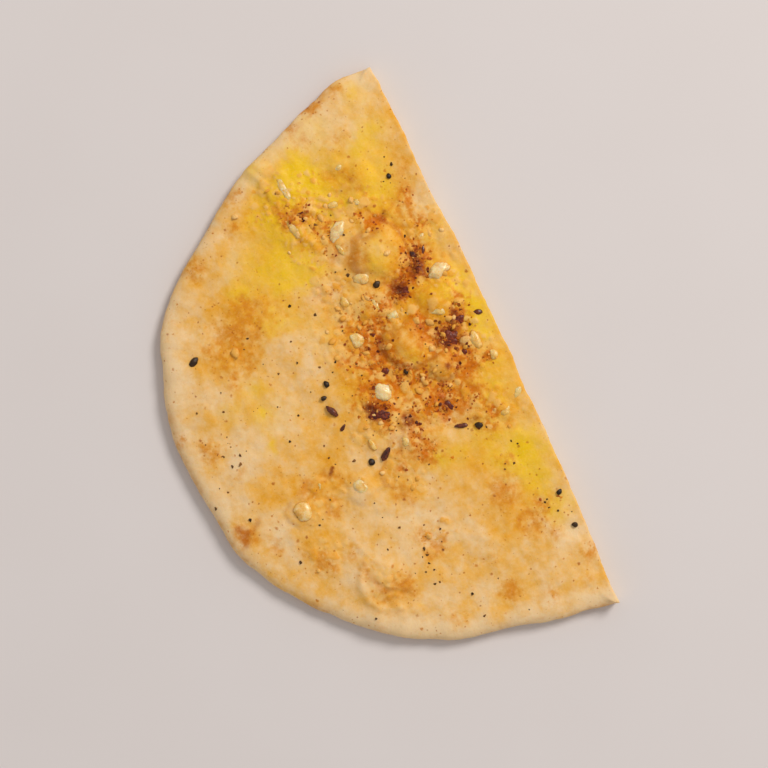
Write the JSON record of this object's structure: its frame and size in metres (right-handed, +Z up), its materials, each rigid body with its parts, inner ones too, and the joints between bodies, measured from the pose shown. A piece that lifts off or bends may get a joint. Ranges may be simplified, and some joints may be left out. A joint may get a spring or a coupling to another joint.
{
  "type": "half naan bread",
  "caption": "Half of a thin round naan, cut straight across, with garlic, seeds, chilli and yellow butter stains baked on top; lies flat.",
  "frame": {"origin": "on the surface that it lies on, under the middle of the half's length and depth", "axes": "+X along the cut edge, +Y from the cut to the round crust, +Z up"},
  "size_m": [0.1798, 0.1036, 0.0113],
  "materials": {
    "bread_crust": "matte",
    "garlic": "satin",
    "black_seed": "satin",
    "brown_seed": "satin",
    "chilli": "satin"
  },
  "bodies": {
    "root": {"naan_half": "bread_crust", "black_seed_01": "black_seed", "black_seed_02": "black_seed", "black_seed_03": "black_seed", "black_seed_04": "black_seed", "black_seed_05": "black_seed", "black_seed_06": "black_seed", "black_seed_07": "black_seed", "black_seed_08": "black_seed", "black_seed_09": "black_seed", "black_seed_10": "black_seed", "brown_seed_01": "brown_seed", "brown_seed_02": "brown_seed", "brown_seed_03": "brown_seed", "brown_seed_04": "brown_seed", "brown_seed_05": "brown_seed", "brown_seed_06": "brown_seed", "brown_seed_07": "brown_seed", "brown_seed_08": "brown_seed", "brown_seed_09": "brown_seed", "chilli_flake_01": "chilli", "chilli_flake_02": "chilli", "chilli_flake_03": "chilli", "chilli_flake_04": "chilli", "chilli_flake_05": "chilli", "chilli_flake_06": "chilli", "chilli_flake_07": "chilli", "chilli_flake_08": "chilli", "chilli_flake_09": "chilli", "chilli_flake_10": "chilli", "chilli_flake_11": "chilli", "chilli_flake_12": "chilli", "garlic_piece_01": "garlic", "garlic_piece_02": "garlic", "garlic_piece_03": "garlic", "garlic_piece_04": "garlic", "garlic_piece_05": "garlic", "garlic_piece_06": "garlic", "garlic_piece_07": "garlic", "garlic_piece_08": "garlic", "garlic_piece_09": "garlic", "garlic_piece_10": "garlic", "garlic_piece_11": "garlic", "garlic_piece_12": "garlic", "garlic_piece_13": "garlic", "garlic_piece_14": "garlic", "garlic_piece_15": "garlic", "garlic_piece_16": "garlic", "garlic_piece_17": "garlic", "garlic_piece_18": "garlic", "garlic_piece_19": "garlic", "garlic_piece_20": "garlic", "garlic_piece_21": "garlic", "garlic_piece_22": "garlic", "garlic_piece_23": "garlic", "garlic_piece_24": "garlic", "garlic_piece_25": "garlic", "garlic_piece_26": "garlic", "garlic_piece_27": "garlic", "garlic_piece_28": "garlic"}
  },
  "joints": []
}
